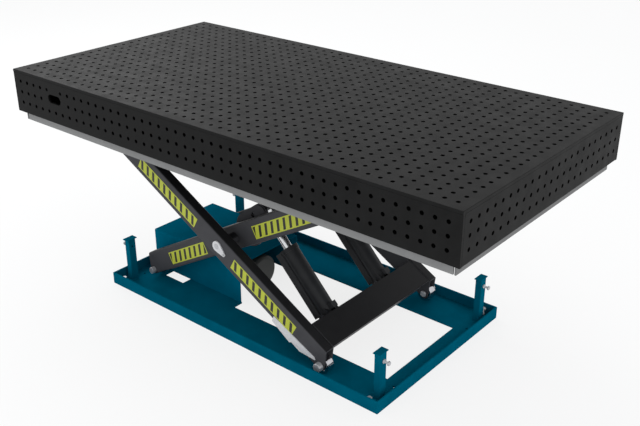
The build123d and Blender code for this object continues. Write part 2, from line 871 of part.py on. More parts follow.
def table_ribs():
    """The ribs inside the table box: two long ones, and cross ribs in three lengths between them."""
    z = (platform_top, table_under)
    inner_x = table_length / 2 - table_plate
    inner_y = table_width / 2 - table_plate
    half = rib_plate / 2
    near = rib_pitch_y / 2 - half
    far = rib_pitch_y / 2 + half
    ribs = [block((-inner_x, inner_x), side_span(side, near, far), z) for side in BOTH_SIDES]
    for number in range(cross_rib_count):
        x = (number - (cross_rib_count - 1) / 2) * rib_pitch_x
        for y in ((-inner_y, -far), (-near, near), (far, inner_y)):
            ribs.append(block((x - half, x + half), y, z))
    return group(ribs)


# Every sub-part and its file

nodes = {
    "base_rail_front": long_rail(-1),
    "base_rail_rear": long_rail(1),
    "base_rail_left": end_rail(-1, left_flange),
    "base_rail_right": end_rail(1, right_flange),
    "levelling_screws": levelling_screws(),
    "base_pivot_lugs": base_pivot_lugs(),
    "base_pivot_pins": base_pivot_pins(),
    "corner_posts": corner_posts(),
    "post_caps": post_caps(),
    "post_screws": post_screws(),
    "pack_tray": pack_tray(),
    "pack_cover": pack_cover(),
    "oil_tank": oil_tank(),
    "filler_cap": filler_cap(),
    "pump_block": pump_block(),
    "motor": motor(),
    "motor_cowl": motor_cowl(),
    "inner_leg_front": leg(-1, INNER),
    "inner_leg_rear": leg(1, INNER),
    "torque_tube": torque_tube(),
    "rod_arms": rod_arms(),
    "upper_roller_axles": roller_axles(INNER),
    "upper_roller_front": roller(-1, INNER),
    "upper_roller_rear": roller(1, INNER),
    "outer_leg_front": leg(-1, OUTER),
    "outer_leg_rear": leg(1, OUTER),
    "centre_pins": centre_pins(),
    "retaining_plates": retaining_plates(),
    "retaining_screws": retaining_screws(),
    "guard_strips": guard_strips(),
    "cross_plate": cross_plate(),
    "cross_tube": cross_tube(),
    "cylinder_lugs": cylinder_lugs(),
    "cylinder_pins": cylinder_pins(),
    "lower_roller_axles": roller_axles(OUTER),
    "lower_roller_front": roller(-1, OUTER),
    "lower_roller_rear": roller(1, OUTER),
    "top_pivot_pins": top_pivot_pins(),
    "barrel_front": barrel(-1),
    "barrel_rear": barrel(1),
    "port_block_front": port_block(-1),
    "port_block_rear": port_block(1),
    "pipe_guard_front": pipe_guard(-1),
    "pipe_guard_rear": pipe_guard(1),
    "rod_front": rod(-1),
    "rod_rear": rod(1),
    "rod_pin_front": rod_pin(-1),
    "rod_pin_rear": rod_pin(1),
    "platform_sheet": platform_sheet(),
    "rim_front": long_rim(-1),
    "rim_rear": long_rim(1),
    "rim_left": end_rim(-1),
    "rim_right": end_rim(1),
    "roller_tracks": roller_tracks(),
    "top_pivot_brackets": top_pivot_brackets(),
    "table_top_plate": table_top_plate(),
    "table_sides": group([table_long_side(1), table_end_side(-1), table_end_side(1)]),
    "table_side_front": table_long_side(-1),
    "table_ribs": table_ribs(),
}

os.makedirs("parts", exist_ok=True)
for name, shape in nodes.items():
    export_step(shape, f"parts/{name}.step")
print("files:", len(nodes))
print("cylinder length", round(cylinder_length, 1), "stroke", round(stroke, 1))
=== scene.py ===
"""Visual model of a height adjustable welding table.

A dark perforated table box stands on a light grey platform, which a scissor lift with two
hydraulic cylinders raises from a teal floor frame.  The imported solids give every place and
size.  This script redraws the perforated plates, the round parts and the pipe guards with
finer surfaces, and adds screws, weld beads, hazard tape and the finishes.
Lengths are in metres unless a name ends in _mm.
"""

import json
import logging
import math
from dataclasses import dataclass
from enum import Enum
from typing import Sequence

import bpy
import numpy as np
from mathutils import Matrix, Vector
from mathutils.geometry import delaunay_2d_cdt

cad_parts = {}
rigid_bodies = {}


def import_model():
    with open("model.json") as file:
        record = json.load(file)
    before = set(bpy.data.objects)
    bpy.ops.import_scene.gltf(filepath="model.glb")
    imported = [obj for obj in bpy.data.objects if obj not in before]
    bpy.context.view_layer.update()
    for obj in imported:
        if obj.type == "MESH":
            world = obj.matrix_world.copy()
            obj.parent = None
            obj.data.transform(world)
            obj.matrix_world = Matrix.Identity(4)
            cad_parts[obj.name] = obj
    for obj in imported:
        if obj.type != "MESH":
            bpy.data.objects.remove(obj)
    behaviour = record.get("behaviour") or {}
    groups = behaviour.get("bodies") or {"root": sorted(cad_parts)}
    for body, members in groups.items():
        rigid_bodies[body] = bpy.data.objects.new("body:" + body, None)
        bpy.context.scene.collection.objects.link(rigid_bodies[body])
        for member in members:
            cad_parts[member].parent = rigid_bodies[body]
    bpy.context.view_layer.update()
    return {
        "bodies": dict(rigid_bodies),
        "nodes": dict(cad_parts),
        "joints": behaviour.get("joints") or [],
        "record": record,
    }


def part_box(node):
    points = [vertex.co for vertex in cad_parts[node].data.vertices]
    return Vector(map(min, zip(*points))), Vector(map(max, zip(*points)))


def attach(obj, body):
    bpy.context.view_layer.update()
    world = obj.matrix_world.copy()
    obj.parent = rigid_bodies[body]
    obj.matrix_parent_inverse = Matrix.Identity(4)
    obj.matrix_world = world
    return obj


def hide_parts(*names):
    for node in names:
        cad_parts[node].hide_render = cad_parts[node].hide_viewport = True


LOG = logging.getLogger("welding_table")
MM = 0.001
SIDES = (-1, 1)
# The signs of X and Y at the four corners of the base.
CORNERS = tuple((end, side) for end in SIDES for side in SIDES)
# The words in the names of a mirrored pair's nodes and bodies, with the sign of their Y.
PAIR = (("front", -1), ("rear", 1))
# Places that differ by less than this are the same place.
TINY = 1e-7
# The shares of a face's normal that point up, where the painted shade on up-facing faces starts and where it
# is full.
UP_FROM, UP_FULL = 0.4, 0.7

Tree = bpy.types.NodeTree
Socket = bpy.types.NodeSocket
Faces = list[list[int]]
Shape = tuple[np.ndarray, Faces]
# A perforated plate: its points, its faces, and a 1 for each point on the wall of a hole.
Sheet = tuple[np.ndarray, Faces, np.ndarray]


class Lean(Enum):
    """Which pair of legs a piece belongs to; the value is the sign of its slope."""

    INNER = 1
    OUTER = -1

    @property
    def body(self) -> str:
        """The name of the body that the pair of legs is."""
        return f"{self.name.lower()}_legs"


# Colours and nodes


def linear(code: str) -> tuple[float, float, float, float]:
    """Turn an sRGB hex colour into the linear values that a shader takes.

    Args:
        code: A hash and six hex digits.

    Returns:
        Red, green, blue and an alpha of 1.
    """
    parts = [int(code[k:k + 2], 16) / 255 for k in (1, 3, 5)]
    red, green, blue = [c / 12.92 if c <= 0.04045 else ((c + 0.055) / 1.055) ** 2.4 for c in parts]
    return (red, green, blue, 1.0)


def feed(node: bpy.types.Node, inputs: dict) -> None:
    """Give a node's inputs their values and links.

    Args:
        node: The node.
        inputs: Input socket name or number to its value, or to the output socket that feeds it.
    """
    for name, value in inputs.items():
        if isinstance(value, Socket):
            node.id_data.links.new(value, node.inputs[name])
        else:
            node.inputs[name].default_value = value


def add(tree: Tree, kind: str, inputs: dict | None = None, **settings: object) -> bpy.types.Node:
    """Add one node with its settings and inputs.

    Args:
        tree: The node tree.
        kind: The node's type, such as ShaderNodeMath.
        inputs: What feed() takes.
        **settings: Properties of the node itself.

    Returns:
        The new node.
    """
    made = tree.nodes.new(kind)
    for name, value in settings.items():
        setattr(made, name, value)
    feed(made, inputs or {})
    return made


@dataclass(frozen=True)
class Finish:
    """A surface with a mottled colour, a varying gloss and a fine bump."""

    name: str
    # Hex colours of the darker and the lighter patches, and the patches' size.
    dark: str
    light: str
    patch_mm: float
    # Lowest and highest roughness over the patches.
    rough: tuple[float, float]
    # Size and height of the bump's grain.
    grain_mm: float
    grain_depth_mm: float
    metallic: float = 0.0
    specular: float = 0.5
    # Share of the brightness kept where painted shade darkens up-facing faces, and where painted shade
    # darkens the walls marked by in_hole.
    upward_shade: float = 1.0
    hole_wall_shade: float = 1.0

    def build(self) -> bpy.types.Material:
        """Make the material, once for all the pieces that have it.

        Returns:
            The material.
        """
        known = bpy.data.materials.get(self.name)
        if known:
            return known
        material = bpy.data.materials.new(self.name)
        material.use_nodes = True
        tree = material.node_tree
        place = add(tree, "ShaderNodeTexCoord").outputs["Object"]
        patches = add(tree, "ShaderNodeTexNoise", {
            "Vector": place, "Scale": 1 / (self.patch_mm * MM), "Detail": 6.0, "Roughness": 0.6})
        spots = add(tree, "ShaderNodeMapRange", {
            "Value": patches.outputs["Fac"], "From Min": 0.35, "From Max": 0.65}).outputs["Result"]
        rough = add(tree, "ShaderNodeMapRange", {
            "Value": spots, "To Min": self.rough[0], "To Max": self.rough[1]})
        grain = add(tree, "ShaderNodeTexNoise", {
            "Vector": place, "Scale": 1 / (self.grain_mm * MM), "Detail": 2.0})
        bump = add(tree, "ShaderNodeBump", {
            "Height": grain.outputs["Fac"], "Strength": 1.0, "Distance": self.grain_depth_mm * MM})
        feed(tree.nodes["Principled BSDF"], {
            "Base Color": self.colour(tree, spots), "Metallic": self.metallic,
            "Specular IOR Level": self.specular, "Roughness": rough.outputs["Result"],
            "Normal": bump.outputs["Normal"]})
        return material

    def mottled(self, tree: Tree, spots: Socket) -> Socket:
        """The two colours mixed over the patches, through a Mix node's colour sockets 6, 7 and 2."""
        return add(tree, "ShaderNodeMix", {0: spots, 6: linear(self.dark), 7: linear(self.light)},
                   data_type="RGBA").outputs[2]

    def colour(self, tree: Tree, spots: Socket) -> Socket:
        """The mottled colour, with painted shade in holes or on up-facing faces where the finish says so.

        Args:
            tree: The material's node tree.
            spots: The patches, from 0 to 1.

        Returns:
            The colour's socket.
        """
        if self.hole_wall_shade != 1.0:
            # Painted shade: the walls marked by in_hole are darkened.
            inside = add(tree, "ShaderNodeAttribute", attribute_name="in_hole").outputs["Fac"]
            value = add(tree, "ShaderNodeMapRange", {"Value": inside, "To Min": 1.0, "To Max": self.hole_wall_shade})
        elif self.upward_shade != 1.0:
            # Painted shade: faces whose normal points up are darkened.
            normal = add(tree, "ShaderNodeNewGeometry").outputs["Normal"]
            rise = add(tree, "ShaderNodeSeparateXYZ", {"Vector": normal}).outputs["Z"]
            value = add(tree, "ShaderNodeMapRange", {
                "Value": rise, "From Min": UP_FROM, "From Max": UP_FULL, "To Min": 1.0,
                "To Max": self.upward_shade})
        else:
            return self.mottled(tree, spots)
        return add(tree, "ShaderNodeHueSaturation", {
            "Color": self.mottled(tree, spots), "Value": value.outputs["Result"]}).outputs["Color"]


@dataclass(frozen=True)
class TapeFinish(Finish):
    """Printed vinyl hazard tape: dark ground, slanted bars and a border, laid out in the UV map.

    The UV map holds metres along and across the tape, from its lower left corner.  The attribute
    tape_size holds the tape's own length and height, and the sign of its bars' lean.
    """

    # Hex colour of the bars and the border, the distance from bar to bar and the border's width.
    bar: str = "#C2CA44"
    period_mm: float = 40.0
    border_mm: float = 5.0
    # How far a bar leans, as a share of its height, and the share of the period that it takes.
    slant: float = 0.414
    share: float = 0.6

    def colour(self, tree: Tree, spots: Socket) -> Socket:
        """The mottled ground with the print over it.

        A bar lies where the fraction of (along + across * lean * slant) / period is under the
        share, and the border where the nearest edge is nearer than the border's width.

        Args:
            tree: The material's node tree.
            spots: The patches, from 0 to 1.

        Returns:
            The colour's socket.
        """
        here = add(tree, "ShaderNodeUVMap", uv_map="tape").outputs["UV"]
        size = add(tree, "ShaderNodeAttribute", attribute_name="tape_size").outputs["Vector"]
        along, across, _ = add(tree, "ShaderNodeSeparateXYZ", {"Vector": here}).outputs
        lean = add(tree, "ShaderNodeSeparateXYZ", {"Vector": size}).outputs["Z"]
        bars = across
        for operation, value in (("MULTIPLY", lean), ("MULTIPLY", self.slant), ("ADD", along),
                                 ("DIVIDE", self.period_mm * MM), ("FRACT", 0.0), ("LESS_THAN", self.share)):
            bars = add(tree, "ShaderNodeMath", {0: bars, 1: value}, operation=operation).outputs[0]
        to_far = add(tree, "ShaderNodeVectorMath", {0: size, 1: here}, operation="SUBTRACT").outputs[0]
        to_edge = add(tree, "ShaderNodeVectorMath", {0: here, 1: to_far}, operation="MINIMUM").outputs[0]
        printed, nearest, _ = add(tree, "ShaderNodeSeparateXYZ", {"Vector": to_edge}).outputs
        for operation, value in (("MINIMUM", nearest), ("LESS_THAN", self.border_mm * MM), ("MAXIMUM", bars)):
            printed = add(tree, "ShaderNodeMath", {0: printed, 1: value}, operation=operation).outputs[0]
        return add(tree, "ShaderNodeMix", {0: printed, 6: self.mottled(tree, spots), 7: linear(self.bar)},
                   data_type="RGBA").outputs[2]


# Plasma nitrided structural steel, fine ground: near black, faintly mottled, with a satin sheen, and painted
# shade on the walls of its holes.
NITRIDED = Finish("plasma_nitrided_steel", "#1A1A1A", "#202020", 70, (0.42, 0.55), 3.0, 0.01, specular=0.06,
                  hole_wall_shade=0.1)
# Powder coat on hollow section: dark grey with a fine orange peel, with painted shade darkening the faces
# that point up.
LEG_COAT = Finish("dark_grey_powder_coat", "#444447", "#4B4B4E", 90, (0.42, 0.5), 3.0, 0.01, specular=0.1,
                  upward_shade=0.25)
# Satin enamel on bent sheet: deep teal, sprayed and slightly wavy.
TEAL = Finish("teal_satin_enamel", "#005A72", "#00627B", 120, (0.35, 0.45), 4.0, 0.01, specular=0.0)
# The same enamel on the power pack's cover, made lighter as painted light where the table shades it.
LIT_COVER_TEAL = Finish("teal_cover_enamel", "#00647F", "#006D8A", 120, (0.35, 0.45), 4.0, 0.01, specular=0.0)
# Light grey enamel on the platform's long flanges, with a soft even shine.
RIM_GREY = Finish("light_grey_enamel", "#868686", "#8E8E8E", 120, (0.4, 0.5), 4.0, 0.01, specular=0.3)
# The same enamel on the platform's end flanges, made duller and darker as painted shade.
SHADED_END_GREY = Finish("light_grey_enamel_ends", "#747474", "#7B7B7B", 120, (0.5, 0.6), 4.0, 0.01, specular=0.2)
# Painted shade: a near black matt finish for the sheet under the table, which lies in shade behind the
# table's slot and holes, and for the strip over the slit under the box.
SHADE_BLACK = Finish("dark_shop_primer", "#101011", "#161617", 90, (0.6, 0.7), 4.0, 0.01, specular=0.1)
# Bright zinc plate, passivated: cool grey metal with a faint bloom.
ZINC = Finish("passivated_zinc_plate", "#B4B5B8", "#C6C7CA", 12, (0.3, 0.42), 3.0, 0.005, metallic=0.45)
# Zinc plate on a flat pressed plate: nearly white where it faces the light.
BRIGHT_ZINC = Finish("bright_zinc_sheet", "#D8D8DA", "#E2E2E4", 20, (0.4, 0.5), 3.0, 0.005, metallic=0.1)
# Ground hard chrome on the piston rods: a clear, slightly blue mirror.
CHROME = Finish("ground_hard_chrome", "#D8DADC", "#E2E4E6", 60, (0.16, 0.22), 20.0, 0.0005, metallic=0.9)
# Satin black enamel on the cylinder barrels, with long soft highlights.
BLACK_ENAMEL = Finish("satin_black_enamel", "#292A2C", "#303133", 60, (0.34, 0.44), 4.0, 0.008, specular=0.15)
# Blow-moulded polyethylene tank: black and waxy.
TANK_PLASTIC = Finish("moulded_polyethylene", "#141516", "#1A1B1C", 40, (0.45, 0.6), 3.0, 0.02, specular=0.3)
# Cast aluminium motor body under thin enamel: the casting's grain shows through.
MOTOR_ENAMEL = Finish("cast_motor_enamel", "#222426", "#2A2C2E", 30, (0.45, 0.6), 3.0, 0.04, specular=0.3)
# Pressed steel fan cowl in dark machine grey: smooth and evenly dull.
COWL_ENAMEL = Finish("pressed_cowl_enamel", "#333533", "#3A3C3A", 40, (0.38, 0.5), 4.0, 0.01, specular=0.3)
# Turned and polished bearing steel: bright rolling faces with sharp reflections.
TURNED_STEEL = Finish("polished_roller_steel", "#B8B8BC", "#CACACE", 15, (0.12, 0.22), 6.0, 0.002,
                      metallic=1.0)
# Printed vinyl tape, slightly glossy.
TAPE = TapeFinish("hazard_tape_vinyl", "#2E2D2A", "#353431", 40, (0.35, 0.45), 6.0, 0.005, specular=0.25)


# Surfaces


def make_piece(name: str, shape: Shape, finish: Finish, body: str,
               replaces: Sequence[str] = (), smooth_deg: float | None = None) -> bpy.types.Object:
    """Put a shape into a mesh object that rides on a body.

    Args:
        name: The piece's name.
        shape: Points, one row of X, Y and Z each, and faces, lists of point numbers.
        finish: The finish.
        body: The body that it rides on.
        replaces: The solids that it stands for.
        smooth_deg: Faces that meet at less than this angle are shaded smooth.

    Returns:
        The new object.
    """
    points, faces = shape
    mesh = bpy.data.meshes.new(name)
    mesh.from_pydata(points, [], faces)
    mesh.materials.append(finish.build())
    if smooth_deg is not None:
        mesh.shade_smooth()
        mesh.set_sharp_from_angle(angle=math.radians(smooth_deg))
    piece = bpy.data.objects.new(name, mesh)
    bpy.context.scene.collection.objects.link(piece)
    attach(piece, body)
    if replaces:
        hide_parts(*replaces)
    LOG.info("piece %s: %d faces on %s", name, len(faces), body)
    return piece


def join(parts: Sequence[Shape]) -> Shape:
    """Join several shapes into one.

    Args:
        parts: The shapes.

    Returns:
        All their points, and their faces with the numbers moved on to match.
    """
    faces, start = [], 0
    for some_points, some_faces in parts:
        faces.extend([[number + start for number in face] for face in some_faces])
        start += len(some_points)
    return np.vstack([points for points, _ in parts]), faces


def circle(count: int) -> np.ndarray:
    """Points at equal angles on the circle of radius 1, one row of X and Y each."""
    angle = np.arange(count) * (2 * math.pi / count)
    return np.stack([np.cos(angle), np.sin(angle)], -1)


def band(rows: int, count: int, joined: bool = False) -> np.ndarray:
    """The quads between rows of points that each go once round, such as a tube's rings.

    Point k of row r has the number r * count + k, and its quad goes on to (r, k + 1),
    (r + 1, k + 1) and (r + 1, k).

    Args:
        rows: The number of rows.
        count: Points in each row.
        joined: Whether the last row is joined to the first.

    Returns:
        Four point numbers per quad.
    """
    row = np.arange(rows if joined else rows - 1)[:, None] * count
    column = np.arange(count)
    next_row, next_column = (row + count) % (rows * count), (column + 1) % count
    return np.stack([row + column, row + next_column, next_row + next_column, next_row + column],
                    -1).reshape(-1, 4)


def at_height(flat: np.ndarray, z: float) -> np.ndarray:
    """Rows of X and Y with one Z added to all."""
    return np.column_stack([flat, np.full(len(flat), z)])


def rectangle(xs: np.ndarray, ys: np.ndarray) -> np.ndarray:
    """Points round a rectangle, anticlockwise from its lower left corner.

    Args:
        xs: Places along X of the points on the lower and upper sides, with both corners.
        ys: Places along Y of the points on the other two, with both corners.

    Returns:
        One row of X and Y per point.
    """
    sides = [(xs, ys[0]), (xs[-1], ys[1:-1]), (xs[::-1], ys[-1]), (xs[0], ys[-2:0:-1])]
    return np.vstack([np.column_stack(np.broadcast_arrays(x, y)) for x, y in sides])


def lathe(profile: Sequence[tuple[float, float]], count: int = 48) -> Shape:
    """Turn a profile about the Z axis.

    The point at angle a and profile step i is (r_i cos a, r_i sin a, h_i).  A profile that
    begins and ends on the axis gets a pole at each end, and one that stays off the axis, for
    a piece with a bore, is joined to its own start.  Either way the surface is closed.

    Args:
        profile: Pairs of radius and height, anticlockwise with the axis on the left.
        count: Points round the axis.

    Returns:
        The turned shape.
    """
    bored = profile[0][0] > 0
    steps = np.array([step for step in profile if step[0] > 0], float)
    rows = len(steps)
    heights = np.broadcast_to(steps[:, None, 1:], (rows, count, 1))
    points = np.concatenate([steps[:, None, :1] * circle(count), heights], -1).reshape(-1, 3)
    faces = band(rows, count, bored).tolist()
    if bored:
        return points, faces
    column = np.arange(count)
    ahead = (column + 1) % count
    low_pole, high_pole, last = rows * count, rows * count + 1, (rows - 1) * count
    faces += np.stack([np.full(count, low_pole), ahead, column], -1).tolist()
    faces += np.stack([np.full(count, high_pole), last + column, last + ahead], -1).tolist()
    return np.vstack([points, (0, 0, profile[0][1]), (0, 0, profile[-1][1])]), faces


def bar_profile(radius: float, length: float, edge: float = 1.5 * MM) -> list[tuple[float, float]]:
    """The profile of a round bar with chamfered ends, from Z = 0 up."""
    return [(0, 0), (radius - edge, 0), (radius, edge), (radius, length - edge), (radius - edge, length),
            (0, length)]


def placed(shape: Shape, origin: Sequence[float], z_axis: Sequence[float],
           x_axis: Sequence[float] = (1, 0, 0)) -> Shape:
    """Move a shape so that its Z runs along z_axis from origin.

    Args:
        shape: The shape.
        origin: Where the shape's origin goes.
        z_axis: The new direction of its Z.
        x_axis: Roughly the new direction of its X.

    Returns:
        The moved points and the same faces.
    """
    points, faces = shape
    z = np.array(z_axis, float) / np.linalg.norm(z_axis)
    x = np.array(x_axis, float) - z * np.dot(x_axis, z)
    if np.linalg.norm(x) < TINY:
        x = np.cross([0, 1, 0], z)
    x /= np.linalg.norm(x)
    return points @ np.stack([x, np.cross(z, x), z]) + np.array(origin, float), faces


def mirrored_bars(radius: float, length: float, place: tuple[float, float, float]) -> Shape:
    """Two round bars along Y, front and rear, that reach as far to either side as bar_place() tells."""
    x, reach, z = place
    return join([placed(lathe(bar_profile(radius, length)), (x, start, z), (0, 1, 0))
                 for start in (-reach, reach - length)])


def bar_place(node: str) -> tuple[float, float, float]:
    """The X and Z of the middle of a node's box, with the Y of its rear end between them."""
    low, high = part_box(node)
    return (low.x + high.x) / 2, high.y, (low.z + high.z) / 2


def merged(shape: Shape) -> Shape:
    """Merge the points that lie within a thousandth of a millimetre.

    Args:
        shape: The shape.

    Returns:
        The shape without the spare points.
    """
    points, faces = shape
    _, first, back = np.unique(np.round(points * 1e6).astype(np.int64), axis=0, return_index=True,
                               return_inverse=True)
    back = back.ravel().tolist()
    return points[first], [[back[number] for number in face] for face in faces]


# The table box


@dataclass(frozen=True)
class Plate:
    """One perforated plate in the XY plane, its outer face at Z = 0 and its body below.

    Its middle row and column of holes, or the gap between the middle two, lies at zero.
    """

    # Holes along X and along Y, and the plate's ranges.
    columns: int
    rows: int
    x: tuple[float, float]
    y: tuple[float, float]
    # Whether the plate has the grip slot.
    slotted: bool = False
    pitch: float = 50 * MM
    hole_radius: float = 8 * MM
    thick: float = 12 * MM
    mouth: float = 0.6 * MM
    edge: float = 1.5 * MM
    around: int = 16
    # The grip slot's middle, length and height; its patch takes up the cells of these columns,
    # up to the second, in the upper rows.
    slot_centre: tuple[float, float] = (-900 * MM, 12 * MM)
    slot_size: tuple[float, float] = (92 * MM, 40 * MM)
    patch_columns: tuple[int, int] = (4, 7)
    patch_rows: int = 2
    # How near a point lies to a hole's radius when it is on the hole's wall.
    near: float = 0.02 * MM
    # A chord's middle lies a little inside its arc: its least share of the radius, for slot and hole.
    chords: tuple[float, float] = (0.999, 0.985)

    def square(self) -> np.ndarray:
        """Points on the rim of a square cell, at the angles of circle()."""
        direction = circle(self.around)
        return direction / np.abs(direction).max(1)[:, None] * self.pitch / 2

    def divisions(self, count: int) -> np.ndarray:
        """The places of the rim points of a row of cells.

        Args:
            count: The number of cells.

        Returns:
            The places, in rising order.
        """
        rim = self.square()
        side = rim[np.isclose(rim[:, 0], self.pitch / 2), 1]
        centres = (np.arange(count) - (count - 1) / 2) * self.pitch
        return np.unique(np.round(centres[:, None] + side, 9))

    def cells(self) -> Shape:
        """The grid without the slot's patch.

        Every cell is a ring of faces between its square rim and the hole's mouth, then a
        chamfer, the hole's wall and a ring on the inner face.

        Returns:
            The cells, not yet joined to each other.
        """
        column, row = np.divmod(np.arange(self.columns * self.rows), self.rows)
        if self.slotted:
            first, end = self.patch_columns
            kept = (column < first) | (column >= end) | (row < self.rows - self.patch_rows)
            column, row = column[kept], row[kept]
        middle = np.stack([column - (self.columns - 1) / 2, row - (self.rows - 1) / 2], -1) * self.pitch
        square, direction = self.square(), circle(self.around)
        mouth, wall = direction * (self.hole_radius + self.mouth), direction * self.hole_radius
        loops = [(square, 0.0), (mouth, 0.0), (wall, -self.mouth), (wall, -self.thick), (square, -self.thick)]
        count = len(middle)
        points = np.stack([np.concatenate([middle[:, None, :] + loop, np.full((count, self.around, 1), z)],
                                          -1) for loop, z in loops], 1)
        start = np.arange(count)[:, None, None] * len(loops) * self.around
        return points.reshape(-1, 3), (start + band(len(loops), self.around)).reshape(-1, 4).tolist()

    def margin(self) -> Shape:
        """The strips between the grid and the plate's rim, with the rim's chamfer and wall.

        Returns:
            The strips, with the same divisions as the grid.
        """
        inner = rectangle(self.divisions(self.columns), self.divisions(self.rows))
        half = inner.max(0)
        low, high = np.array([self.x, self.y]).T

        def stretched(shrink: float) -> np.ndarray:
            """The grid's rim, each side moved out along its own axis to the plate's rim less shrink."""
            return np.where(inner > half - TINY, high - shrink,
                            np.where(inner < TINY - half, low + shrink, inner))

        lines = [(inner, 0.0), (stretched(self.edge), 0.0), (stretched(0), -self.edge),
                 (stretched(0), -self.thick), (inner, -self.thick)]
        points = np.vstack([at_height(*line) for line in lines])
        return points, band(len(lines), len(inner))[:, ::-1].tolist()

    def from_slot(self, flat: np.ndarray) -> np.ndarray:
        """Distances from the slot's middle line.

        Args:
            flat: Rows of X and Y.

        Returns:
            One distance per row.
        """
        x, y = (flat - self.slot_centre).T
        reach = (self.slot_size[0] - self.slot_size[1]) / 2
        return np.hypot(x - np.clip(x, -reach, reach), y)

    def slot_patch(self) -> Shape:
        """The cells round the grip slot: two triangulated faces, and the walls of slot and holes.

        The face is triangulated between its rim, the slot and the two holes beside the slot's
        column, and the triangles inside the slot or a hole are dropped.

        Returns:
            The patch.
        """
        low_x, high_x = ((edge - self.columns / 2) * self.pitch for edge in self.patch_columns)
        low_y, high_y = (self.rows / 2 - self.patch_rows) * self.pitch, self.rows / 2 * self.pitch
        xs, ys = self.divisions(self.columns), self.divisions(self.rows)
        rim = rectangle(xs[(xs > low_x - TINY) & (xs < high_x + TINY)], ys[ys > low_y - TINY])
        radius = self.slot_size[1] / 2
        turn = np.linspace(-math.pi / 2, math.pi / 2, 13)
        right = np.stack([self.slot_size[0] / 2 - radius + radius * np.cos(turn), radius * np.sin(turn)], -1)
        slot = np.vstack([right, -right]) + self.slot_centre
        half = self.pitch / 2
        holes = [circle(self.around) * self.hole_radius + (x, high_y - half)
                 for x in (low_x + half, high_x - half)]
        flat, edges = [], []
        for loop in [rim, slot, *holes]:
            start, count = len(flat), len(loop)
            flat.extend(Vector(point) for point in loop)
            edges.extend((start + k, start + (k + 1) % count) for k in range(count))
        made = delaunay_2d_cdt(flat, edges, [], 1, TINY)
        points, triangles = np.array([tuple(v) for v in made[0]]), np.array(made[2])
        middle = points[triangles].mean(1)
        kept = self.from_slot(middle) > radius * self.chords[0]
        for hole in holes:
            kept &= np.hypot(*(middle - hole.mean(0)).T) > self.hole_radius * self.chords[1]
        triangles = triangles[kept]
        faces = [triangles.tolist() + (triangles[:, ::-1] + len(points)).tolist()]
        faces += [band(2, len(loop)).tolist() for loop in (slot, *holes)]
        return join([(np.vstack([at_height(loop, z) for z in (0.0, -self.thick)]), some)
                     for loop, some in zip((points, slot, *holes), faces)])

    def build(self) -> Sheet:
        """Put the plate together.

        Returns:
            The plate, with the points on the walls of its holes and its slot marked.
        """
        parts = [self.cells(), self.margin()] + ([self.slot_patch()] if self.slotted else [])
        points, faces = merged(join(parts))
        flat = points[:, :2]
        cell = flat / self.pitch + np.array([(self.columns - 1) / 2, (self.rows - 1) / 2])
        away = np.hypot(*((cell - np.round(cell)) * self.pitch).T)
        found = np.abs(away - self.hole_radius) < self.near
        if self.slotted:
            found |= np.abs(self.from_slot(flat) - self.slot_size[1] / 2) < self.near
        return points, faces, (found & (points[:, 2] < -self.mouth / 2)).astype(np.float32)


